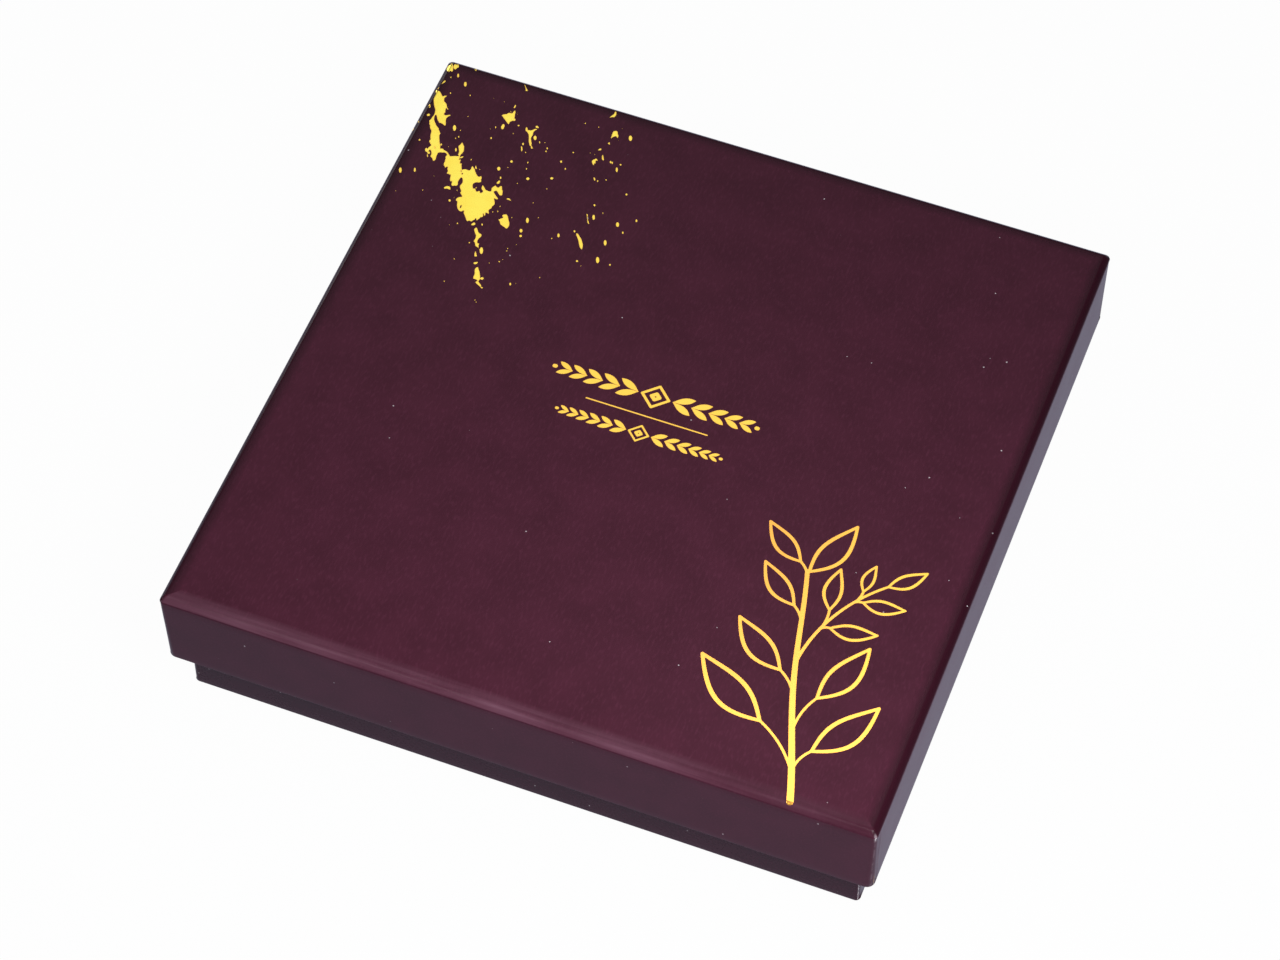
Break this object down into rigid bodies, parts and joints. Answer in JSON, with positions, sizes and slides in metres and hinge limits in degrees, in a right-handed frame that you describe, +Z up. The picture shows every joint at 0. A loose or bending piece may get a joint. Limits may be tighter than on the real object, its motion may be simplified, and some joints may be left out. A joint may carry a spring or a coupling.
{
  "type": "rigid chocolate box",
  "caption": "Square rigid set-up box with a lift-off lid that stops short of the base's foot, a slotted card divider for pralines and a quilted padding sheet.",
  "frame": {"origin": "middle of the underside, on the surface that the box stands on", "axes": "+Z up, out of the base's mouth; +X along the front edge, to the right; +Y to the back"},
  "size_m": [0.16, 0.16, 0.0368],
  "materials": {
    "wrap_paper": "satin",
    "greyboard": "matte",
    "stay_tape": "matte",
    "lining_paper": "matte",
    "divider_card": "matte",
    "padding_paper": "satin",
    "gold_foil": "polished"
  },
  "bodies": {
    "base": {"base_board": "greyboard", "base_wrap": "wrap_paper", "base_bottom_sheet": "wrap_paper", "base_liner": "lining_paper", "base_corner_stay_front_left": "stay_tape", "base_corner_stay_front_right": "stay_tape", "base_corner_stay_back_right": "stay_tape", "base_corner_stay_back_left": "stay_tape"},
    "divider": {"divider_long_strip_1": "divider_card", "divider_long_strip_2": "divider_card", "divider_long_strip_3": "divider_card", "divider_cross_strip_1": "divider_card", "divider_cross_strip_2": "divider_card", "divider_cross_strip_3": "divider_card"},
    "pad": {"cushion_pad": "padding_paper"},
    "lid": {"lid_board": "greyboard", "lid_wrap": "wrap_paper", "lid_liner": "lining_paper", "lid_corner_stay_front_left": "stay_tape", "lid_corner_stay_front_right": "stay_tape", "lid_corner_stay_back_right": "stay_tape", "lid_corner_stay_back_left": "stay_tape"}
  },
  "joints": [
    {"name": "divider_lift", "type": "slide", "parent": "base", "child": "divider", "axis": [0, 0, 1], "range_m": [0, 0.045]},
    {"name": "pad_lift", "type": "slide", "parent": "divider", "child": "pad", "axis": [0, 0, 1], "range_m": [0, 0.03]},
    {"name": "lid_lift", "type": "slide", "parent": "pad", "child": "lid", "axis": [0, 0, 1], "range_m": [0, 0.06]}
  ]
}
